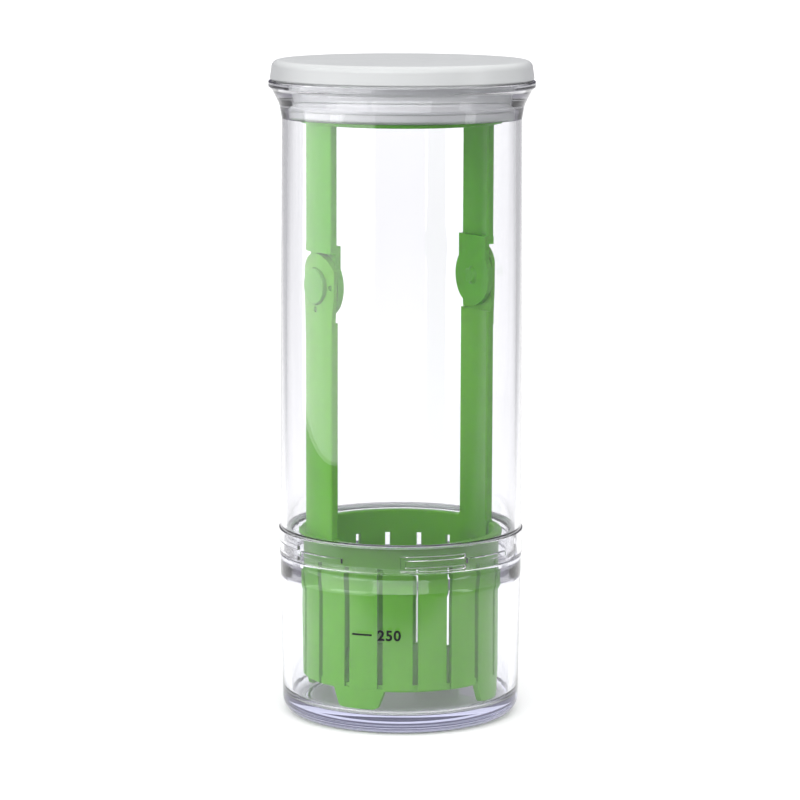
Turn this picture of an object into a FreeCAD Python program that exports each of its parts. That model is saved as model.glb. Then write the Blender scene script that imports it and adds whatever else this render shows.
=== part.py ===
import FreeCAD, Part
import math
import os

# Clear two-part keeper for upright stems: a lower jar that holds water, an
# upper tube that locks on it with a quarter-turn collar, a press-in lid, and
# a slotted basket on two posts with a folding ring-topped handle.
# Origin: centre of the jar's foot ring, on the surface it stands on.
# +Z up, the front faces -Y.  Millimetres.  The heights below are working
# heights: every piece is raised by BASE_DROP when it is written, so that the
# foot ring lands at zero.

V = FreeCAD.Vector
os.makedirs("parts", exist_ok=True)

# ---------------------------------------------------------------- dimensions
# upper tube
TUBE_R_TOP = 49.95        # outside radius just under the flare
TUBE_R_LOW = 50.90        # outside radius just above the collar
TUBE_WALL = 2.45
FLANGE_R = 55.5           # rim flange under the lid
FLANGE_Z0, FLANGE_Z1 = 263.4, 265.9
FLARE_Z = 250.6           # where the flare runs out into the straight wall
COLLAR_R = 51.4           # collar skirt, a little proud of the tube
COLLAR_RI = 49.45
COLLAR_Z0, COLLAR_Z1 = 67.9, 78.5
LEDGE_Z = 79.2            # inside shoulder that stops on the neck seal

# lower jar
JAR_R_TOP = 50.95
JAR_R_LOW = 50.0
BASE_DROP = 0.7           # the foot ring lies this much under the working zero
JAR_RI = 47.3             # inside radius of the water space
JAR_TOP_Z = 67.5          # shoulder under the collar
JAR_FILLET = 6.7          # outside corner at the base
JAR_FLOOR_Z = 7.0         # inside floor
NECK_RO, NECK_RI = 47.9, 45.3
NECK_Z = 77.7             # top of the neck

# quarter-turn lugs on the neck, and the channels in the collar
N_LUGS = 4
LUG_R = 49.05
LUG_Z0, LUG_Z1 = 70.45, 72.55
LUG_A0, LUG_A1 = 33.5, 60.5      # degrees, at rest just outside a channel
RIB_RI = 48.3
RIB_A0, RIB_A1 = 0.0, 32.0       # degrees, length of a channel
RIB_END = 2.4                    # degrees, closed end of a channel
RIB_LOW = (68.3, 70.1)
RIB_UP = (72.9, 74.7)

# basket
BASKET_R = 41.3
BASKET_WALL = 2.2
BASKET_Z0 = 16.0          # underside of the basket
BASKET_FLOOR = 2.4
SLOT_Z0, SLOT_Z1 = 18.9, 68.0
SLOT_W = 2.3
N_SLOTS = 18
SLOT_PHASE = 8.4          # degrees, centre of one slot
RIM_Z = 77.9
RIM_R = 42.7
FOOT_Z = 7.4
FOOT_TOP_A, FOOT_BOT_A = 31.0, 22.0
FOOT_PHASE = -25.0

# posts and handle
POST_PHI = (-58.0, 122.0) # degrees round from the front towards +X
STRIP_RO, STRIP_RI = 41.2, 37.8
STRIP_HALF = 10.6         # half width of the posts
ARM_HALF = 10.0           # half width of the handle's arms
EAR_HALF = 11.7           # half width of the ears
NOTCH = 1.0               # how far the bars stand proud of the floor's edge
PIVOT_Z = 182.6
EAR_R = 13.6
EAR_W0 = 38.0             # inner face of the ear, from the keeper's axis
TONGUE_W0, TONGUE_W1 = 35.3, 37.7
TONGUE_R = 12.6
SHOULDER = 14.0          # shoulder of the arm above the pivot
RING_RO, RING_RI = 41.5, 38.2
RING_Z0, RING_Z1 = 248.8, 251.1
PIN_R = 3.2
PIN_CLEAR = 0.06
BUTTON_R = 7.5
BUTTON_SEAT_W = 39.6      # floor of the button's seat in the ear
BUTTON_W = 42.35          # outer face of the button
DIMPLE_R = 1.15
DIMPLE_AT = 9.7

# lid
LID_R = 54.85
LID_Z0, LID_Z1 = 266.35, 274.4
PLUG_R, PLUG_RI = 46.9, 44.7
PLUG_Z0 = 251.7
SEAL_R = 47.2


# ------------------------------------------------------------------- helpers
def face_rz(pts):
    """Closed face in the XZ plane from (r, z[, corner radius]) points."""
    n = len(pts)
    ends = []
    for i in range(n):
        p = V(pts[i][0], 0, pts[i][1])
        f = pts[i][2] if len(pts[i]) > 2 else 0.0
        if f <= 0:
            ends.append((p, p, None))
            continue
        a = V(pts[i - 1][0], 0, pts[i - 1][1]) - p
        b = V(pts[(i + 1) % n][0], 0, pts[(i + 1) % n][1]) - p
        a.normalize()
        b.normalize()
        half = a.getAngle(b) / 2.0
        t = f / math.tan(half)
        c = p + (a + b).normalize() * (f / math.sin(half))
        mid = c + (p - c).normalize() * f
        ends.append((p + a * t, p + b * t, mid))
    edges = []
    for i in range(n):
        s, e, m = ends[i]
        if m is not None:
            edges.append(Part.Arc(s, m, e).toShape())
        q = ends[(i + 1) % n][0]
        if (q - e).Length > 1e-6:
            edges.append(Part.makeLine(e, q))
    return Part.Face(Part.Wire(edges))


def rev(pts, a0=None, a1=None):
    """Solid of revolution about Z, whole or from angle a0 to a1."""
    f = face_rz(pts)
    if a0 is None:
        return f.revolve(V(0, 0, 0), V(0, 0, 1), 360.0)
    f.rotate(V(0, 0, 0), V(0, 0, 1), a0 - 90.0)
    return f.revolve(V(0, 0, 0), V(0, 0, 1), a1 - a0)


def local_box(phi, u0, u1, w0, w1, z0, z1):
    """Box in post coordinates: u sideways, w outwards, z up."""
    b = Part.makeBox(u1 - u0, w1 - w0, z1 - z0, V(u0, -w1, z0))
    b.rotate(V(0, 0, 0), V(0, 0, 1), phi)
    return b


def solid(shape):
    shape = shape.removeSplitter()
    s = shape.Solids
    if len(s) != 1:
        print("warning: %d solids" % len(s))
    return s[0] if len(s) == 1 else shape


def fillet_where(shape, radius, test):
    es = [e for e in shape.Edges if test(e)]
    if not es:
        return shape
    try:
        out = shape.makeFillet(radius, es)
        if out.isValid() and out.Volume > 0:
            return out
    except Exception:
        pass
    print("note: a fillet of %.2f was left out" % radius)
    return shape


def write(name, shape):
    shape = shape.copy()
    shape.translate(V(0, 0, BASE_DROP))
    ok = shape.isValid()
    bb = shape.BoundBox
    print("%-18s valid=%s solids=%d vol=%.1f cm3 z %.1f..%.1f" % (
        name, ok, len(shape.Solids), shape.Volume / 1000.0, bb.ZMin, bb.ZMax))
    shape.exportStep("parts/%s.step" % name)


# ---------------------------------------------------------------- lower jar
jar = rev([
    (0.0, 2.0 - BASE_DROP),
    (38.2, 2.0 - BASE_DROP, 1.0),
    (39.4, 0.5 - BASE_DROP, 0.6),
    (40.4, -BASE_DROP, 0.8),
    (JAR_R_LOW - 0.1, -BASE_DROP, JAR_FILLET),
    (JAR_R_LOW, 14.0, 20.0),
    (JAR_R_TOP, JAR_TOP_Z, 0.5),
    (NECK_RO, JAR_TOP_Z, 0.3),
    (NECK_RO, NECK_Z, 0.5),
    (NECK_RI, NECK_Z, 0.6),
    (NECK_RI, 64.5, 4.0),
    (JAR_RI, 58.5, 6.0),
    (JAR_RI - 1.2, JAR_FLOOR_Z, 4.0),
    (0.0, JAR_FLOOR_Z),
])
for k in range(N_LUGS):
    a0, a1 = LUG_A0 + 90.0 * k, LUG_A1 + 90.0 * k
    lug = rev([(NECK_RO - 0.8, LUG_Z0), (LUG_R, LUG_Z0, 0.35),
               (LUG_R, LUG_Z1, 0.35), (NECK_RO - 0.8, LUG_Z1)], a0, a1)
    jar = jar.fuse(lug)
write("water_jar", solid(jar))

# --------------------------------------------------------------- upper tube
RI_TOP = TUBE_R_TOP - TUBE_WALL
RI_LOW = TUBE_R_LOW - TUBE_WALL - 0.15
tube = rev([
    (COLLAR_RI, COLLAR_Z0, 0.4),
    (COLLAR_R, COLLAR_Z0, 0.6),
    (COLLAR_R, COLLAR_Z1, 0.35),
    (TUBE_R_LOW, COLLAR_Z1 + 0.15, 0.2),
    (TUBE_R_TOP, FLARE_Z, 4.0),
    (TUBE_R_TOP + 1.05, 256.2, 5.0),
    (FLANGE_R - 1.5, 262.2, 1.6),
    (FLANGE_R, FLANGE_Z0, 0.5),
    (FLANGE_R, FLANGE_Z1, 0.7),
    (RI_TOP + 0.15, FLANGE_Z1, 0.9),
    (RI_TOP, 250.0),
    (RI_LOW, LEDGE_Z, 0.4),
    (COLLAR_RI, LEDGE_Z, 0.4),
])
for k in range(N_LUGS):
    b = 90.0 * k
    for z0, z1 in (RIB_LOW, RIB_UP):
        rib = rev([(RIB_RI, z0, 0.3), (COLLAR_RI + 0.6, z0),
                   (COLLAR_RI + 0.6, z1), (RIB_RI, z1, 0.3)],
                  b + RIB_A0, b + RIB_A1)
        tube = tube.fuse(rib)
    end = rev([(RIB_RI, RIB_LOW[0]), (COLLAR_RI + 0.6, RIB_LOW[0]),
               (COLLAR_RI + 0.6, RIB_UP[1]), (RIB_RI, RIB_UP[1])],
              b + RIB_A0, b + RIB_A0 + RIB_END)
    tube = tube.fuse(end)
write("upper_tube", solid(tube))

# ---------------------------------------------------------------- neck seal
seal = rev([(46.3, NECK_Z + 0.05, 0.3), (49.15, NECK_Z + 0.05, 0.3),
            (49.15, LEDGE_Z - 0.3, 0.3), (46.3, LEDGE_Z - 0.3, 0.3)])
write("neck_seal", solid(seal))

# ------------------------------------------------------------------- basket
RB, RBI = BASKET_R, BASKET_R - BASKET_WALL
bk = rev([
    (0.0, BASKET_Z0),
    (RB, BASKET_Z0, 1.2),
    (RB, RIM_Z - 1.9, 0.4),
    (RIM_R, RIM_Z - 1.7, 0.4),
    (RIM_R, RIM_Z, 0.6),
    (RBI, RIM_Z, 0.6),
    (RBI, BASKET_Z0 + BASKET_FLOOR, 1.0),
    (0.0, BASKET_Z0 + BASKET_FLOOR),
])
cuts = []
for k in range(N_SLOTS):
    phi = SLOT_PHASE + 360.0 / N_SLOTS * k
    cuts.append(local_box(phi, -SLOT_W / 2, SLOT_W / 2, RBI - 1.5, RB + 1.5,
                          SLOT_Z0, SLOT_Z1))
    cuts.append(local_box(phi, -SLOT_W / 2, SLOT_W / 2, RB - NOTCH, RB + 1.5,
                          BASKET_Z0 - 1.0, SLOT_Z0 + 1.0))
bk = bk.cut(Part.makeCompound(cuts))

for k in range(4):
    mid = FOOT_PHASE + 90.0 * k
    blank = rev([(RBI, FOOT_Z - 1.0), (RB - 0.1, FOOT_Z - 1.0),
                 (RB - 0.1, BASKET_Z0 + 1.4), (RBI, BASKET_Z0 + 1.4)],
                mid - 22, mid + 22)
    ut = RB * math.sin(math.radians(FOOT_TOP_A / 2))
    ub = RB * math.sin(math.radians(FOOT_BOT_A / 2))
    pts = [V(-ut, 0, BASKET_Z0 + 2), V(-ut, 0, BASKET_Z0),
           V(-ub, 0, FOOT_Z), V(ub, 0, FOOT_Z),
           V(ut, 0, BASKET_Z0), V(ut, 0, BASKET_Z0 + 2)]
    pr = Part.Face(Part.makePolygon(pts + [pts[0]])).extrude(V(0, -60, 0))
    es = [e for e in pr.Edges
          if abs(e.BoundBox.ZMax - FOOT_Z) < 1e-3
          and abs(e.BoundBox.ZMin - FOOT_Z) < 1e-3
          and e.BoundBox.YLength > 50]
    if es:
        pr = pr.makeFillet(3.4, es)
    pr.rotate(V(0, 0, 0), V(0, 0, 1), mid)
    bk = bk.fuse(blank.common(pr))


def strip(z0, z1, half, rad=0.0):
    """Curved strip section of the posts and arms, front centred."""
    s = rev([(STRIP_RI, z0), (STRIP_RO, z0), (STRIP_RO, z1), (STRIP_RI, z1)],
            -30, 30)
    s = s.common(Part.makeBox(2 * half, 60, z1 - z0, V(-half, -60, z0)))
    if rad > 0:
        s = fillet_where(s, rad, lambda e: e.BoundBox.ZLength > (z1 - z0) * 0.9
                         and e.BoundBox.XLength < 0.01)
    return s


def turned(shape, phi):
    s = shape.copy()
    s.rotate(V(0, 0, 0), V(0, 0, 1), phi)
    return s


core = Part.makeCylinder(STRIP_RO, 60, V(0, 0, PIVOT_Z - 30), V(0, 0, 1))

# post with its ear, centred on the front
post = strip(RIM_Z - 8.0, PIVOT_Z - 14.5, STRIP_HALF, 0.9)
ear_low = Part.makeBox(2 * STRIP_HALF, 10, 20.0,
                       V(-STRIP_HALF, -EAR_W0 - 10, PIVOT_Z - 20.0)).common(core)
# the ear's outline: round top, sides that draw in to the post's width
wings = Part.Face(Part.makePolygon([
    V(-EAR_HALF, 0, PIVOT_Z - 4.0), V(-STRIP_HALF, 0, PIVOT_Z - 15.0),
    V(STRIP_HALF, 0, PIVOT_Z - 15.0), V(EAR_HALF, 0, PIVOT_Z - 4.0),
    V(EAR_HALF, 0, PIVOT_Z + EAR_R + 1), V(-EAR_HALF, 0, PIVOT_Z + EAR_R + 1),
    V(-EAR_HALF, 0, PIVOT_Z - 4.0)])).extrude(V(0, -60, 0))
disc = Part.makeCylinder(EAR_R, 60, V(0, 0, PIVOT_Z), V(0, -1, 0))
skirt = Part.makeBox(2 * EAR_HALF, 60, 15.0, V(-EAR_HALF, -60, PIVOT_Z - 15.0))
blade = Part.makeBox(60, 10, 60, V(-30, -EAR_W0 - 10, PIVOT_Z - 30)).common(core)
ear = wings.common(disc.fuse(skirt)).common(blade)
post = post.fuse([ear_low, ear])
# bore for the pivot pin, seat for its button, and detent dimples
bore = Part.makeCylinder(PIN_R + PIN_CLEAR, 12, V(0, -EAR_W0 + 2, PIVOT_Z), V(0, -1, 0))
seat = Part.makeCylinder(BUTTON_R + 0.3, 6, V(0, -BUTTON_SEAT_W, PIVOT_Z), V(0, -1, 0))
post = post.cut(bore).cut(seat)
for ang in (0.0, 180.0, 270.0):
    a = math.radians(ang)
    u, z = DIMPLE_AT * math.cos(a), PIVOT_Z + DIMPLE_AT * math.sin(a)
    w = math.sqrt(STRIP_RO ** 2 - u * u)
    d = Part.makeCylinder(DIMPLE_R, 3, V(u, -w + 0.9, z), V(0, -1, 0))
    post = post.cut(d)
# buttress where the post leaves the rim
foot = strip(RIM_Z - 8.0, RIM_Z + 1.0, STRIP_HALF)
post = post.fuse(foot)
for phi in POST_PHI:
    bk = bk.fuse(turned(post, phi))
bk = solid(bk)
write("basket", bk)

# ------------------------------------------------------------------- handle
ring = rev([(RING_RI, RING_Z0, 0.8), (RING_RO, RING_Z0, 0.7),
            (RING_RO, RING_Z1, 0.7), (RING_RI, RING_Z1, 0.8)])
arm = strip(PIVOT_Z + SHOULDER, RING_Z1 - 0.4, ARM_HALF, 1.0)
block_core = Part.makeCylinder(STRIP_RO, 60, V(0, 0, PIVOT_Z), V(0, 0, 1))
block = Part.makeBox(2 * ARM_HALF, 10, 3.2,
                     V(-ARM_HALF, -TONGUE_W0 - 10, PIVOT_Z + SHOULDER)).common(block_core)
tongue = Part.makeCylinder(TONGUE_R, TONGUE_W1 - TONGUE_W0,
                           V(0, -TONGUE_W0, PIVOT_Z), V(0, -1, 0))
web = Part.makeBox(2 * ARM_HALF, TONGUE_W1 - TONGUE_W0, SHOULDER + 3.2,
                   V(-ARM_HALF, -TONGUE_W1, PIVOT_Z))
arm = arm.fuse([block, tongue, web])
arm = arm.cut(Part.makeCylinder(PIN_R, 12, V(0, -TONGUE_W0 + 2, PIVOT_Z), V(0, -1, 0)))
handle = ring.fuse([turned(arm, p) for p in POST_PHI])
write("handle", solid(handle))

# --------------------------------------------------------------- pivot pins
# a round button in the ear's seat, a shaft through the ear, pressed in the
# tongue, and a spread end behind it
pin = Part.makeCylinder(PIN_R, EAR_W0 - TONGUE_W0 + 3.4,
                        V(0, -TONGUE_W0, PIVOT_Z), V(0, -1, 0))
head = Part.makeCylinder(BUTTON_R, BUTTON_W - BUTTON_SEAT_W - 0.15,
                         V(0, -BUTTON_SEAT_W - 0.15, PIVOT_Z), V(0, -1, 0))
head = fillet_where(head, 0.7, lambda e: e.BoundBox.YMin < -BUTTON_W + 0.05
                    and e.BoundBox.YLength < 0.05)
tip = Part.makeCone(PIN_R + 0.7, PIN_R - 0.5, 1.2,
                    V(0, -TONGUE_W0, PIVOT_Z), V(0, 1, 0))
pin = pin.fuse([head, tip])
for name, phi in (("left_pivot_pin", POST_PHI[0]), ("right_pivot_pin", POST_PHI[1])):
    write(name, solid(turned(pin, phi)))

# ---------------------------------------------------------------------- lid
cap = rev([
    (0.0, LID_Z1 - 2.4),
    (LID_R - 3.0, LID_Z1 - 2.4, 1.2),
    (LID_R - 2.3, LID_Z0, 0.4),
    (LID_R, LID_Z0, 0.7),
    (LID_R - 0.6, 270.6, 3.0),
    (LID_R - 1.1, LID_Z1 - 0.1, 3.0),
    (LID_R - 8.0, LID_Z1, 2.0),
    (0.0, LID_Z1),
])
write("lid_cap", solid(cap))

plug = rev([
    (0.0, 268.6),
    (PLUG_RI, 268.6, 1.2),
    (PLUG_RI + 0.2, PLUG_Z0, 0.4),
    (PLUG_R - 0.3, PLUG_Z0, 1.1),
    (PLUG_R, 254.6, 0.3),
    (45.9, 254.9, 0.2),
    (45.9, 260.2, 0.2),
    (PLUG_R, 260.5, 0.3),
    (PLUG_R, 266.4, 0.6),
    (52.2, 266.4, 0.4),
    (52.0, 268.3, 0.4),
    (PLUG_R, 268.3, 0.6),
    (PLUG_R - 0.2, 270.2, 0.5),
    (34.0, 270.2, 0.3),
    (34.0, LID_Z1 - 2.4),
    (31.5, LID_Z1 - 2.4),
    (31.5, 270.2, 0.3),
    (0.0, 270.2),
])
write("lid_plug", solid(plug))

lseal = rev([
    (45.9, 255.15),
    (46.6, 255.15, 0.2),
    (SEAL_R, 256.3, 0.35),
    (46.6, 257.2, 0.2),
    (46.6, 257.9, 0.2),
    (SEAL_R, 258.9, 0.35),
    (46.6, 260.0, 0.2),
    (45.9, 260.0),
])
write("lid_seal", solid(lseal))
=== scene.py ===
import math

import bmesh
import bpy
from mathutils import Matrix, Vector


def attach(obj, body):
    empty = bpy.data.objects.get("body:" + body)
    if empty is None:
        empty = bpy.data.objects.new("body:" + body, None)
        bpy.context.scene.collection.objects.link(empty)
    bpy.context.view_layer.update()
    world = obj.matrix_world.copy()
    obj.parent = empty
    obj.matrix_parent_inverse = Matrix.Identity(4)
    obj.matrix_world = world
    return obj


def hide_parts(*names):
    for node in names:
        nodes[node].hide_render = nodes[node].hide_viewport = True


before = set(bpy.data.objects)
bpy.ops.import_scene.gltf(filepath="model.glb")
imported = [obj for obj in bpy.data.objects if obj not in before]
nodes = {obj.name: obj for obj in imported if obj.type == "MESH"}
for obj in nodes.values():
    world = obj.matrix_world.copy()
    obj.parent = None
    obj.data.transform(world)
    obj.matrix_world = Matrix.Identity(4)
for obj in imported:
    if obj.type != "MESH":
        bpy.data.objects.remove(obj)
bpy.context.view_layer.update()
MM = 0.001
LIFT = 0.7          # the CAD's working heights are raised by this much

# ------------------------------------------------------------ camera and stage
F_PX = 3402.0
TILT = math.radians(8.8)
REACH = F_PX * 0.42 * MM * math.cos(TILT)
EYE_Z = 0.35048 + LIFT * MM
ROLL = math.radians(0.17)

scene = bpy.context.scene
cam_data = bpy.data.cameras.new("camera")
cam_data.sensor_fit = "HORIZONTAL"
cam_data.sensor_width = 36.0
cam_data.lens = 36.0 * F_PX / 800.0
cam_data.clip_start = 0.05
cam_data.clip_end = 60.0
cam = bpy.data.objects.new("camera", cam_data)
scene.collection.objects.link(cam)
cam.matrix_world = (Matrix.Translation((-0.0005, -REACH, EYE_Z))
                    @ Matrix.Rotation(math.pi / 2 - TILT, 4, "X")
                    @ Matrix.Rotation(ROLL, 4, "Z"))
scene.camera = cam
scene.view_settings.view_transform = "Standard"
scene.view_settings.look = "None"


def node_tree(mat):
    mat.use_nodes = True
    t = mat.node_tree
    t.nodes.clear()
    return t, t.nodes, t.links


def stage_plane(name, size_x, size_y, matrix, color, emit=0.0, two_sided=True):
    me = bpy.data.meshes.new(name)
    hx, hy = size_x / 2, size_y / 2
    me.from_pydata([(-hx, -hy, 0), (hx, -hy, 0), (hx, hy, 0), (-hx, hy, 0)], [], [(0, 1, 2, 3)])
    ob = bpy.data.objects.new(name, me)
    scene.collection.objects.link(ob)
    ob.matrix_world = matrix
    m = bpy.data.materials.new(name + "_mat")
    t, n, l = node_tree(m)
    out = n.new("ShaderNodeOutputMaterial")
    b = n.new("ShaderNodeBsdfPrincipled")
    b.inputs["Base Color"].default_value = (*color, 1)
    b.inputs["Roughness"].default_value = 0.9
    b.inputs["Specular IOR Level"].default_value = 0.1
    if emit:
        b.inputs["Emission Color"].default_value = (*color, 1)
        b.inputs["Emission Strength"].default_value = emit
    l.new(b.outputs[0], out.inputs[0])
    me.materials.append(m)
    return ob


floor = stage_plane("floor", 60.0, 60.0, Matrix.Translation((0, 0.0, 0.0)), (0.90, 0.90, 0.895))


def paint_floor_light_and_shade(mat, glow):
    """Pale floor with a painted bright sweep under and behind the object: a strip that widens away
    from the front, with soft borders, gets a lighter base colour and emission (painted light), and
    the floor next to it a darker colour (painted shade), so that the clear walls have something dimmer to show at their
    edges."""
    t, n, l = mat.node_tree, mat.node_tree.nodes, mat.node_tree.links
    b = [x for x in n if x.type == "BSDF_PRINCIPLED"][0]
    sep = n.new("ShaderNodeSeparateXYZ")
    l.new(n.new("ShaderNodeTexCoord").outputs["Object"], sep.inputs[0])
    half = n.new("ShaderNodeMath")
    half.operation = "MULTIPLY_ADD"
    l.new(sep.outputs["Y"], half.inputs[0])
    half.inputs[1].default_value = 0.17
    half.inputs[2].default_value = FLOOR_HALF
    side = n.new("ShaderNodeMath")
    side.operation = "ABSOLUTE"
    l.new(sep.outputs["X"], side.inputs[0])
    inside = n.new("ShaderNodeMath")
    inside.operation = "SUBTRACT"
    l.new(half.outputs[0], inside.inputs[0])
    l.new(side.outputs[0], inside.inputs[1])
    across = n.new("ShaderNodeMapRange")
    across.interpolation_type = "SMOOTHSTEP"
    across.inputs["From Min"].default_value = -1.0
    across.inputs["From Max"].default_value = 1.0
    # the soft border is wider further back
    border = n.new("ShaderNodeMath")
    border.operation = "MULTIPLY_ADD"
    l.new(sep.outputs["Y"], border.inputs[0])
    border.inputs[1].default_value = 0.05
    border.inputs[2].default_value = 0.11
    wide = n.new("ShaderNodeMath")
    wide.operation = "MAXIMUM"
    l.new(border.outputs[0], wide.inputs[0])
    wide.inputs[1].default_value = 0.05
    part = n.new("ShaderNodeMath")
    part.operation = "DIVIDE"
    l.new(inside.outputs[0], part.inputs[0])
    l.new(wide.outputs[0], part.inputs[1])
    l.new(part.outputs[0], across.inputs["Value"])
    along = n.new("ShaderNodeMapRange")
    along.interpolation_type = "SMOOTHSTEP"
    along.inputs["From Min"].default_value = -0.25
    along.inputs["From Max"].default_value = -0.17
    l.new(sep.outputs["Y"], along.inputs["Value"])
    painted_lit_strip = n.new("ShaderNodeMath")
    painted_lit_strip.operation = "MULTIPLY"
    l.new(across.outputs[0], painted_lit_strip.inputs[0])
    l.new(along.outputs[0], painted_lit_strip.inputs[1])
    grain = noise(n, l, n.new("ShaderNodeTexCoord").outputs["Object"], 3.0, 2.0, 0.5)
    # painted shade and light: off the strip the floor colour is darker, darkest in front of the object; on the strip it
    # is raised to 0.80
    painted_dim_sides = ramp(n, l, along.outputs[0], [(0.0, (0.36, 0.36, 0.37)), (1.0, (0.54, 0.54, 0.55))])
    col = n.new("ShaderNodeMix")
    col.data_type = "RGBA"
    l.new(painted_lit_strip.outputs[0], col.inputs["Factor"])
    l.new(painted_dim_sides, col.inputs[6])
    col.inputs[7].default_value = (0.80, 0.80, 0.80, 1)
    l.new(col.outputs[2], b.inputs["Base Color"])
    l.new(ramp(n, l, grain, [(0.3, (0.80,) * 3), (0.8, (0.92,) * 3)]), b.inputs["Roughness"])
    # painted glow: the strip's emission rises towards the back end, standing in for lamp light that reaches it less
    far = n.new("ShaderNodeMapRange")
    far.inputs["From Min"].default_value = 0.0
    far.inputs["From Max"].default_value = 4.0
    far.inputs["To Min"].default_value = glow
    far.inputs["To Max"].default_value = glow + 0.20
    l.new(sep.outputs["Y"], far.inputs["Value"])
    # painted light: emission strength on the floor strip
    power = n.new("ShaderNodeMath")
    power.operation = "MULTIPLY"
    l.new(painted_lit_strip.outputs[0], power.inputs[0])
    l.new(far.outputs[0], power.inputs[1])
    b.inputs["Emission Color"].default_value = (1.0, 1.0, 1.0, 1)
    l.new(power.outputs[0], b.inputs["Emission Strength"])


def area(name, loc, target, sx, sy, power, color=(1, 1, 1), spread=None):
    d = bpy.data.lights.new(name, "AREA")
    d.shape = "RECTANGLE"
    d.size, d.size_y = sx, sy
    d.energy = power
    d.color = color
    if spread:
        d.spread = spread
    o = bpy.data.objects.new(name, d)
    scene.collection.objects.link(o)
    o.location = loc
    direction = Vector(target) - Vector(loc)
    o.rotation_euler = direction.to_track_quat("-Z", "Y").to_euler()
    o.visible_camera = False
    return o


# tall soft box close by on the left, whose reflection veils the front left of the tube
LEFT_AZ = math.radians(-65.5)
LEFT_D = 0.60
area("softbox_left", (LEFT_D * math.sin(LEFT_AZ), -LEFT_D * math.cos(LEFT_AZ), 0.50), (0, 0, 0.50),
     1.02, 0.96, 6.0, (1.0, 0.99, 1.0)).visible_diffuse = False
area("softbox_top", (0.15, -0.25, 1.8), (0, 0, 0.1), 1.4, 1.4, 2.0)
area("softbox_front", (0.0, -1.30, 1.05), (0, 0, 0.15), 1.5, 0.9, 13.0)
area("softbox_fill", (-1.2, -0.8, 0.8), (0, 0, 0.15), 1.0, 0.8, 6.0).visible_glossy = False
area("softbox_right", (1.3, -0.5, 0.75), (0, 0, 0.15), 0.35, 0.9, 3.0)

# room: dim and a little violet near the horizon, bright overhead
world = bpy.data.worlds.new("studio")
scene.world = world
t, n, l = node_tree(world)
out = n.new("ShaderNodeOutputWorld")
bg = n.new("ShaderNodeBackground")
tc = n.new("ShaderNodeTexCoord")
sep = n.new("ShaderNodeSeparateXYZ")
l.new(tc.outputs["Generated"], sep.inputs[0])
rmp = n.new("ShaderNodeValToRGB")
cr = rmp.color_ramp
cr.elements[0].position = 0.0
cr.elements[0].color = (0.10, 0.095, 0.12, 1)
cr.elements[1].position = 1.0
cr.elements[1].color = (0.72, 0.72, 0.72, 1)
e = cr.elements.new(0.30)
e.color = (0.16, 0.155, 0.18, 1)
e = cr.elements.new(0.46)
e.color = (0.62, 0.62, 0.63, 1)
l.new(sep.outputs["Z"], rmp.inputs["Fac"])
l.new(rmp.outputs["Color"], bg.inputs["Color"])
bg.inputs["Strength"].default_value = 1.75
l.new(bg.outputs[0], out.inputs[0])


# ------------------------------------------------------------------- materials
def noise(n, l, coord, scale, detail=2.0, rough=0.5, stretch=None):
    src = coord
    if stretch is not None:
        mp = n.new("ShaderNodeMapping")
        mp.inputs["Scale"].default_value = stretch
        l.new(coord, mp.inputs["Vector"])
        src = mp.outputs[0]
    tx = n.new("ShaderNodeTexNoise")
    tx.inputs["Scale"].default_value = scale
    tx.inputs["Detail"].default_value = detail
    tx.inputs["Roughness"].default_value = rough
    l.new(src, tx.inputs["Vector"])
    return tx.outputs["Fac"]


def ramp(n, l, fac, stops):
    r = n.new("ShaderNodeValToRGB")
    cr = r.color_ramp
    while len(cr.elements) < len(stops):
        cr.elements.new(0.5)
    for e, (p, c) in zip(cr.elements, stops):
        e.position = p
        e.color = (*c, 1) if len(c) == 3 else c
    l.new(fac, r.inputs["Fac"])
    return r.outputs["Color"]


def clear_plastic(name, tint, ior=1.52, wave=0.06, body=(0.78, 0.79, 0.93), density=20.0):
    m = bpy.data.materials.new(name)
    t, n, l = node_tree(m)
    out = n.new("ShaderNodeOutputMaterial")
    b = n.new("ShaderNodeBsdfPrincipled")
    b.inputs["Base Color"].default_value = (*tint, 1)
    b.inputs["Transmission Weight"].default_value = 1.0
    b.inputs["IOR"].default_value = ior
    co = n.new("ShaderNodeTexCoord").outputs["Object"]
    # faint wipe marks and haze in the polish
    wipe = noise(n, l, co, 55.0, 3.0, 0.6, (1.0, 1.0, 0.35))
    r = ramp(n, l, wipe, [(0.40, (0.0, 0.0, 0.0)), (0.78, (0.045, 0.045, 0.045))])
    l.new(r, b.inputs["Roughness"])
    # slow moulding waves, drawn out along the axis
    slow = noise(n, l, co, 26.0, 1.0, 0.4, (1.0, 1.0, 0.25))
    bump = n.new("ShaderNodeBump")
    bump.inputs["Strength"].default_value = wave
    bump.inputs["Distance"].default_value = 0.0012
    l.new(slow, bump.inputs["Height"])
    l.new(bump.outputs[0], b.inputs["Normal"])
    l.new(b.outputs[0], out.inputs[0])
    va = n.new("ShaderNodeVolumeAbsorption")
    va.inputs["Color"].default_value = (*body, 1)
    va.inputs["Density"].default_value = density
    l.new(va.outputs[0], out.inputs["Volume"])
    return m


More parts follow.
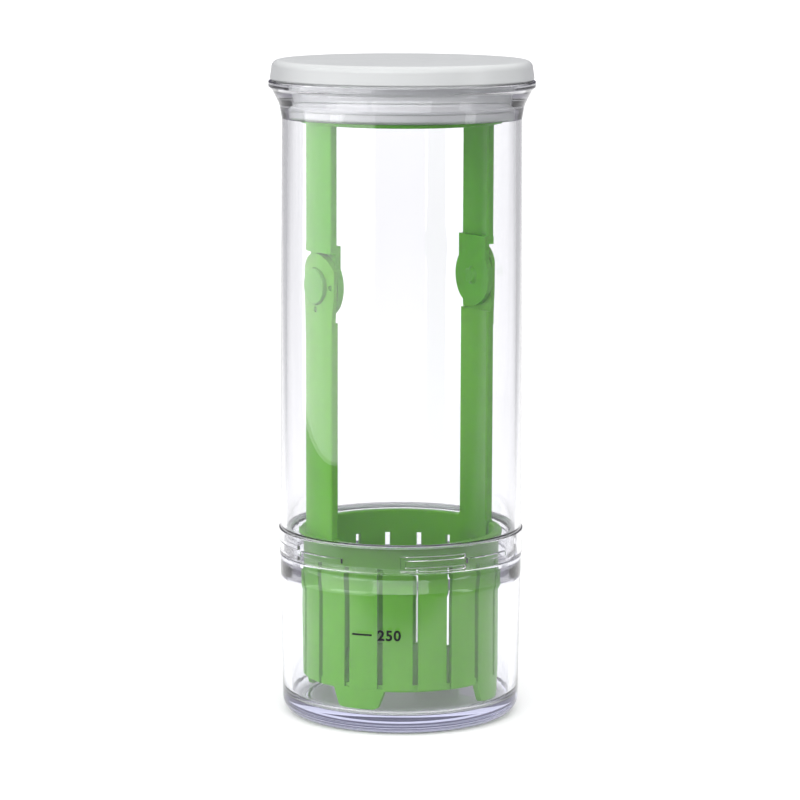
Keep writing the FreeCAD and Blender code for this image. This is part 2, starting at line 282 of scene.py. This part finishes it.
def solid_plastic(name, dark, light, rough=(0.32, 0.44), grain=0.12, sss=0.0, sss_col=None, coat=0.0,
                  spec=0.5):
    m = bpy.data.materials.new(name)
    t, n, l = node_tree(m)
    out = n.new("ShaderNodeOutputMaterial")
    b = n.new("ShaderNodeBsdfPrincipled")
    co = n.new("ShaderNodeTexCoord").outputs["Object"]
    flow = noise(n, l, co, 38.0, 3.0, 0.55, (1.0, 1.0, 0.30))
    l.new(ramp(n, l, flow, [(0.30, dark), (0.70, light)]), b.inputs["Base Color"])
    scuff = noise(n, l, co, 160.0, 4.0, 0.6, (1.0, 1.0, 0.5))
    l.new(ramp(n, l, scuff, [(0.30, (rough[0],) * 3), (0.75, (rough[1],) * 3)]), b.inputs["Roughness"])
    fine = noise(n, l, co, 2600.0, 2.0, 0.5)
    sink = noise(n, l, co, 45.0, 1.0, 0.4)
    mix = n.new("ShaderNodeMath")
    mix.operation = "MULTIPLY_ADD"
    l.new(fine, mix.inputs[0])
    mix.inputs[1].default_value = 0.10
    l.new(sink, mix.inputs[2])
    bump = n.new("ShaderNodeBump")
    bump.inputs["Strength"].default_value = grain
    bump.inputs["Distance"].default_value = 0.0006
    l.new(mix.outputs[0], bump.inputs["Height"])
    l.new(bump.outputs[0], b.inputs["Normal"])
    b.inputs["Specular IOR Level"].default_value = spec
    if sss:
        b.inputs["Subsurface Weight"].default_value = sss
        b.inputs["Subsurface Radius"].default_value = sss_col or (1, 1, 1)
        b.inputs["Subsurface Scale"].default_value = 0.002
    if coat:
        b.inputs["Coat Weight"].default_value = coat
        b.inputs["Coat Roughness"].default_value = 0.2
    l.new(b.outputs[0], out.inputs[0])
    return m


CLEAR_TUBE = clear_plastic("clear_tube_plastic", (0.985, 0.985, 0.995), body=(0.80, 0.80, 0.84), density=30.0)
CLEAR_JAR = clear_plastic("clear_jar_plastic", (0.980, 0.982, 0.995))
GREEN = solid_plastic("green_basket_plastic", (0.095, 0.400, 0.003), (0.118, 0.445, 0.006),
                      sss=0.12, sss_col=(0.4, 1.0, 0.15), spec=0.3)
GREEN_H = solid_plastic("green_handle_plastic", (0.078, 0.390, 0.003), (0.096, 0.430, 0.007),
                        sss=0.12, sss_col=(0.4, 1.0, 0.15), spec=0.3)
GREEN_P = solid_plastic("green_pin_plastic", (0.074, 0.375, 0.004), (0.090, 0.410, 0.008),
                        sss=0.1, sss_col=(0.4, 1.0, 0.15))
WHITE = solid_plastic("white_cap_plastic", (0.500, 0.512, 0.507), (0.526, 0.538, 0.533),
                      rough=(0.30, 0.42), grain=0.05)
# painted light: the plug's white is set lighter than the cap's white plastic, making up for the dimmer light it gets
# inside the clear tube
PLUG_WHITE_LIGHTENED = solid_plastic("white_plug_plastic_lightened", (0.735, 0.750, 0.740), (0.765, 0.780, 0.770),
                        rough=(0.34, 0.48), grain=0.05)


def silicone(name, dark, light, trans):
    m = solid_plastic(name, dark, light, rough=(0.42, 0.60), grain=0.10, sss=0.3)
    b = [x for x in m.node_tree.nodes if x.type == "BSDF_PRINCIPLED"][0]
    b.inputs["Transmission Weight"].default_value = trans
    b.inputs["IOR"].default_value = 1.41
    return m


FLOOR_HALF = 0.300
# painted light and shade on the floor: bright strip, darker surround and emission glow
paint_floor_light_and_shade(floor.data.materials[0], 0.16)

SIL_CLEAR = silicone("clear_silicone", (0.80, 0.83, 0.84), (0.88, 0.90, 0.91), 0.6)
SIL_GREY = silicone("grey_silicone", (0.87, 0.88, 0.88), (0.90, 0.91, 0.91), 0.0)

INK = bpy.data.materials.new("black_print")
t, n, l = node_tree(INK)
_out = n.new("ShaderNodeOutputMaterial")
_b = n.new("ShaderNodeBsdfPrincipled")
_co = n.new("ShaderNodeTexCoord").outputs["Object"]
l.new(ramp(n, l, noise(n, l, _co, 900.0, 3.0, 0.6), [(0.3, (0.006, 0.006, 0.007)), (0.8, (0.022, 0.022, 0.024))]), _b.inputs["Base Color"])
l.new(ramp(n, l, noise(n, l, _co, 1500.0, 2.0, 0.5), [(0.3, (0.30,) * 3), (0.8, (0.46,) * 3)]), _b.inputs["Roughness"])
_b.inputs["Specular IOR Level"].default_value = 0.15
l.new(_b.outputs[0], _out.inputs[0])


# -------------------------------------------------------------------- geometry
def rounded(pts, closed=False, step=9.0, support=0.35):
    """Polyline of (r, z) from corner points (r, z[, radius]): arcs at the corners, and
    a support point near each end of a long straight."""
    n = len(pts)
    spans = []
    for i in range(n):
        p = Vector((pts[i][0], pts[i][1]))
        f = pts[i][2] if len(pts[i]) > 2 else 0.0
        if f <= 0 or (not closed and i in (0, n - 1)):
            spans.append([p])
            continue
        a = (Vector(pts[i - 1][:2]) - p).normalized()
        b = (Vector(pts[(i + 1) % n][:2]) - p).normalized()
        half = a.angle(b) / 2.0
        if abs(half - math.pi / 2) < 1e-4:
            spans.append([p])
            continue
        tl = f / math.tan(half)
        c = p + (a + b).normalized() * (f / math.sin(half))
        s, e = p + a * tl, p + b * tl
        turn = math.pi - 2 * half
        k = max(2, int(math.ceil(math.degrees(turn) / step)))
        a0 = math.atan2(s.y - c.y, s.x - c.x)
        a1 = math.atan2(e.y - c.y, e.x - c.x)
        d = a1 - a0
        while d > math.pi:
            d -= 2 * math.pi
        while d < -math.pi:
            d += 2 * math.pi
        spans.append([Vector((c.x + f * math.cos(a0 + d * j / k), c.y + f * math.sin(a0 + d * j / k)))
                      for j in range(k + 1)])
    out = []
    m = n if closed else n - 1
    for i in range(n):
        out.extend(spans[i])
        if i < m:
            s, e = spans[i][-1], spans[(i + 1) % n][0]
            L = (e - s).length
            if L > 4 * support:
                u = (e - s) / L
                out.append(s + u * support)
                if L > 12:
                    kk = int(L // 12)
                    for j in range(1, kk):
                        out.append(s + u * (L * j / kk))
                out.append(e - u * support)
    clean = [out[0]]
    for p in out[1:]:
        if (p - clean[-1]).length > 1e-4:
            clean.append(p)
    if closed and (clean[0] - clean[-1]).length < 1e-4:
        clean.pop()
    return [(p.x, p.y) for p in clean]


def ring_mesh(name, profile_at, angles, closed, mats, z_lift=LIFT, sharp=38.0):
    """Mesh of revolution whose profile may change with the angle.  closed: the profile is a
    loop (a ring); otherwise its ends lie on the axis."""
    bm = bmesh.new()
    cols = []
    for phi in angles:
        a = math.radians(phi)
        cols.append([(r, z, math.sin(a), -math.cos(a)) for r, z in profile_at(phi)])
    npt = len(cols[0])
    poles = {}
    grid = []
    for c in cols:
        row = []
        for j, (r, z, sx, sy) in enumerate(c):
            if not closed and r < 1e-6:
                if j not in poles:
                    poles[j] = bm.verts.new((0, 0, (z + z_lift) * MM))
                row.append(poles[j])
            else:
                row.append(bm.verts.new((r * sx * MM, r * sy * MM, (z + z_lift) * MM)))
        grid.append(row)
    na = len(angles)
    last = npt if closed else npt - 1
    for i in range(na):
        A, B = grid[i], grid[(i + 1) % na]
        for j in range(last):
            k = (j + 1) % npt
            vs = []
            for v in (A[j], B[j], B[k], A[k]):
                if v not in vs:
                    vs.append(v)
            if len(vs) >= 3:
                try:
                    bm.faces.new(vs)
                except ValueError:
                    pass
    bmesh.ops.remove_doubles(bm, verts=bm.verts, dist=1e-8)
    bmesh.ops.dissolve_degenerate(bm, edges=bm.edges, dist=1e-8)
    bmesh.ops.recalc_face_normals(bm, faces=bm.faces)
    me = bpy.data.meshes.new(name)
    bm.to_mesh(me)
    bm.free()
    for p in me.polygons:
        p.use_smooth = True
    me.set_sharp_from_angle(angle=math.radians(sharp))
    ob = bpy.data.objects.new(name, me)
    scene.collection.objects.link(ob)
    for m in mats:
        me.materials.append(m)
    w = ob.modifiers.new("weighted_normals", "WEIGHTED_NORMAL")
    w.keep_sharp = True
    w.weight = 50
    return ob


def even(nseg, extra=()):
    a = [360.0 * i / nseg for i in range(nseg)]
    a = [x for x in a if all(abs((x - e + 180) % 360 - 180) > 0.35 for e in extra)]
    return sorted(a + [e % 360 for e in extra])


def smooth(o, angle=32.0):
    """Fair shading on a CAD node: weld the facets' seams and shade it smooth."""
    me = o.data
    wld = o.modifiers.new("weld", "WELD")
    wld.merge_threshold = 2e-7
    for p in me.polygons:
        p.use_smooth = True
    return o


def finish_cad(node, mat, angle=32.0):
    o = nodes[node]
    o.data.materials.clear()
    o.data.materials.append(mat)
    bm = bmesh.new()
    bm.from_mesh(o.data)
    print("cad", node, len(o.data.vertices), "verts", "custom" if o.data.has_custom_normals else "plain")
    bm.free()
    return o


# water jar
N_LUGS = 4
LUG = (33.5, 60.5)


def in_span(phi, a0, a1):
    p = phi % 90.0
    return a0 <= p <= a1


JAR_LOW, JAR_TOP = 50.0, 50.95
jar_a = [
    (0.0, 1.3), (38.2, 1.3, 1.0), (39.4, -0.2, 0.6), (40.4, -0.7, 0.8),
    (49.9, -0.7, 6.7), (JAR_LOW, 14.0, 20.0), (JAR_TOP, 67.5, 0.5), (47.9, 67.5, 0.3),
]
jar_c = [
    (47.9, 77.7, 0.5), (45.3, 77.7, 0.6), (45.3, 64.5, 4.0), (47.3, 58.5, 6.0),
    (46.1, 7.0, 4.0), (0.0, 7.0),
]


def jar_profile(lug):
    rl = 49.05 if lug else 47.9
    mid = [(47.9, 70.45), (rl, 70.45 + (0.001 if not lug else 0)), (rl, 72.55), (47.9, 72.55 + (0.001 if not lug else 0))]
    return mid


def build_jar():
    full = rounded(jar_a + jar_c, closed=False, step=7.0)
    # split the neck's straight wall at the lug's heights
    out_on, out_off = [], []
    done = False
    for i, (r, z) in enumerate(full):
        nxt = full[i + 1] if i + 1 < len(full) else None
        out_on.append((r, z))
        out_off.append((r, z))
        if not done and nxt and abs(r - 47.9) < 1e-3 and abs(nxt[0] - 47.9) < 1e-3 and z <= 70.45 <= nxt[1] and nxt[1] >= 72.55:
            on = [(47.9, 70.45), (48.8, 70.45), (49.05, 70.7), (49.05, 72.3), (48.8, 72.55), (47.9, 72.55)]
            off = [(47.9, 70.45), (47.9, 70.50), (47.9, 70.7), (47.9, 72.3), (47.9, 72.50), (47.9, 72.55)]
            out_on += on
            out_off += off
            done = True
    assert done
    ext = []
    for k in range(N_LUGS):
        for e in LUG:
            ext += [e + 90 * k - 0.15, e + 90 * k + 0.15]
    lo, hi = LUG

    def at(phi):
        return out_on if in_span(phi, lo - 0.01, hi + 0.01) else out_off
    return ring_mesh("water_jar_body", at, even(256, ext), False, [CLEAR_JAR])


def build_tube():
    ri_top, ri_low = 49.95 - 2.45, 50.90 - 2.45 - 0.15
    loop = [
        (49.45, 67.9, 0.4), (51.4, 67.9, 0.6), (51.4, 78.5, 0.35), (50.9, 78.65, 0.2),
        (49.95, 250.6, 4.0), (51.0, 256.2, 5.0), (54.0, 262.2, 1.6), (55.46, 263.4, 0.5),
        (55.46, 265.9, 0.7), (ri_top + 0.15, 265.9, 0.9), (ri_top, 250.0),
        (ri_low, 79.2, 0.4), (49.45, 79.2, 0.4),
    ]
    full = rounded(loop, closed=True, step=7.0)
    # the collar's inner wall runs from the last point back to the first
    on, off = list(full), list(full)
    zs = [(74.7, 49.45, 48.3), (72.9, 48.3, 49.45), (70.1, 49.45, 48.3), (68.5, 48.3, 49.45)]
    rib, flat = [], []
    # down the inner wall: upper rib, channel, lower rib
    for (z0, z1) in ((74.7, 72.9), (70.1, 68.5)):
        rib += [(49.45, z0), (48.6, z0), (48.3, z0 - 0.3), (48.3, z1 + 0.3), (48.6, z1), (49.45, z1)]
        flat += [(49.45, z0), (49.45, z0 - 0.05), (49.45, z0 - 0.3), (49.45, z1 + 0.3), (49.45, z1 + 0.05), (49.45, z1)]
    end = [(49.45, 74.7), (48.6, 74.7), (48.3, 74.4), (48.3, 73.2), (48.3, 72.95), (48.3, 72.9),
           (48.3, 70.1), (48.3, 70.05), (48.3, 69.8), (48.3, 68.8), (48.6, 68.5), (49.45, 68.5)]
    # drop points of the straight inner wall that lie between the rib heights
    keep = []
    for i, (r, z) in enumerate(full):
        if abs(r - 49.45) < 1e-3 and 68.45 < z < 75.0:
            continue
        keep.append((r, z))
    # the loop closes from (49.45, ~78.7) down to (49.45, ~68.3): append the rib run there
    on, off, en = keep + rib, keep + flat, keep + end
    ext = []
    for k in range(4):
        for e in (0.0, 2.4, 32.0):
            ext += [e + 90 * k - 0.12, e + 90 * k + 0.12]

    def at(phi):
        p = phi % 90.0
        if 0.0 < p < 2.4:
            return en
        if 2.4 <= p < 32.0:
            return on
        return off
    return ring_mesh("upper_tube_body", at, even(256, ext), True, [CLEAR_TUBE])


jar_ob = build_jar()
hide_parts("water_jar")
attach(jar_ob, "jar")
tube_ob = build_tube()
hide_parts("upper_tube")
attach(tube_ob, "tube")

for nm, mt in (("neck_seal", SIL_CLEAR), ("basket", GREEN), ("handle", GREEN_H),
               ("left_pivot_pin", GREEN_P), ("right_pivot_pin", GREEN_P),
               ("lid_cap", WHITE), ("lid_plug", PLUG_WHITE_LIGHTENED), ("lid_seal", SIL_GREY)):
    finish_cad(nm, mt)

# ------------------------------------------------------- printed level mark
JAR_SKIN = 0.03     # how far the print stands off the jar, mm


def jar_radius(z):
    """Outside radius of the jar at working height z."""
    t = (z - 14.0) / (67.5 - 14.0)
    return JAR_LOW + (JAR_TOP - JAR_LOW) * t


def wrap(ob_mesh, phi0, z0):
    """Bend flat mesh coordinates (mm: x along the wall, y up) round the jar's wall."""
    for v in ob_mesh.vertices:
        x, y, d = v.co.x, v.co.y, v.co.z
        z = z0 + y
        r = jar_radius(z) + JAR_SKIN + d
        a = math.radians(phi0) + x / jar_radius(z)
        v.co = (r * math.sin(a) * MM, -r * math.cos(a) * MM, (z + LIFT) * MM)


def printed(name, mesh, phi0, z0):
    ob = bpy.data.objects.new(name, mesh)
    scene.collection.objects.link(ob)
    wrap(mesh, phi0, z0)
    mesh.materials.append(INK)
    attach(ob, "jar")
    return ob


def dash_mesh(name, w, h, t=0.04):
    bm = bmesh.new()
    nx = 14
    r = h * 0.28
    top = []
    xs = [-w / 2 + r + (w - 2 * r) * i / nx for i in range(nx + 1)]
    outline = [(x, -h / 2) for x in xs]
    for k in range(1, 6):
        a = -math.pi / 2 + math.pi * k / 6
        outline.append((w / 2 - r + r * math.cos(a), (h / 2) * math.sin(a)))
    outline += [(x, h / 2) for x in reversed(xs)]
    for k in range(1, 6):
        a = math.pi / 2 + math.pi * k / 6
        outline.append((-w / 2 + r + r * math.cos(a), (h / 2) * math.sin(a)))
    lowv = [bm.verts.new((x, y, 0)) for x, y in outline]
    highv = [bm.verts.new((x, y, t)) for x, y in outline]
    n_ = len(outline)
    for i in range(n_):
        bm.faces.new((lowv[i], lowv[(i + 1) % n_], highv[(i + 1) % n_], highv[i]))
    # caps as single faces, then triangulated
    for vs, flip in ((lowv, True), (highv, False)):
        half = n_ // 2
        f = bm.faces.new(vs if not flip else list(reversed(vs)))
        bmesh.ops.triangulate(bm, faces=[f])
    bmesh.ops.recalc_face_normals(bm, faces=bm.faces)
    me = bpy.data.meshes.new(name)
    bm.to_mesh(me)
    bm.free()
    return me


def text_mesh(name, body, height, t=0.04):
    cu = bpy.data.curves.new(name + "_curve", "FONT")
    cu.body = body
    cu.size = height / 0.72
    cu.extrude = t / 2
    cu.offset = 0.045 * height
    cu.space_character = 1.12
    cu.resolution_u = 6
    tmp = bpy.data.objects.new(name + "_tmp", cu)
    scene.collection.objects.link(tmp)
    dg = bpy.context.evaluated_depsgraph_get()
    me = bpy.data.meshes.new_from_object(tmp.evaluated_get(dg))
    bpy.data.objects.remove(tmp)
    bpy.data.curves.remove(cu)
    bm = bmesh.new()
    bm.from_mesh(me)
    bmesh.ops.remove_doubles(bm, verts=bm.verts, dist=1e-5)
    for v in bm.verts:
        v.co.z += t / 2
    bm.to_mesh(me)
    bm.free()
    me.name = name
    return me


printed("level_dash", dash_mesh("level_dash", 8.6, 0.85), -18.3, 41.9)
printed("level_number", text_mesh("level_number", "250", 4.3), -10.8, 39.9)
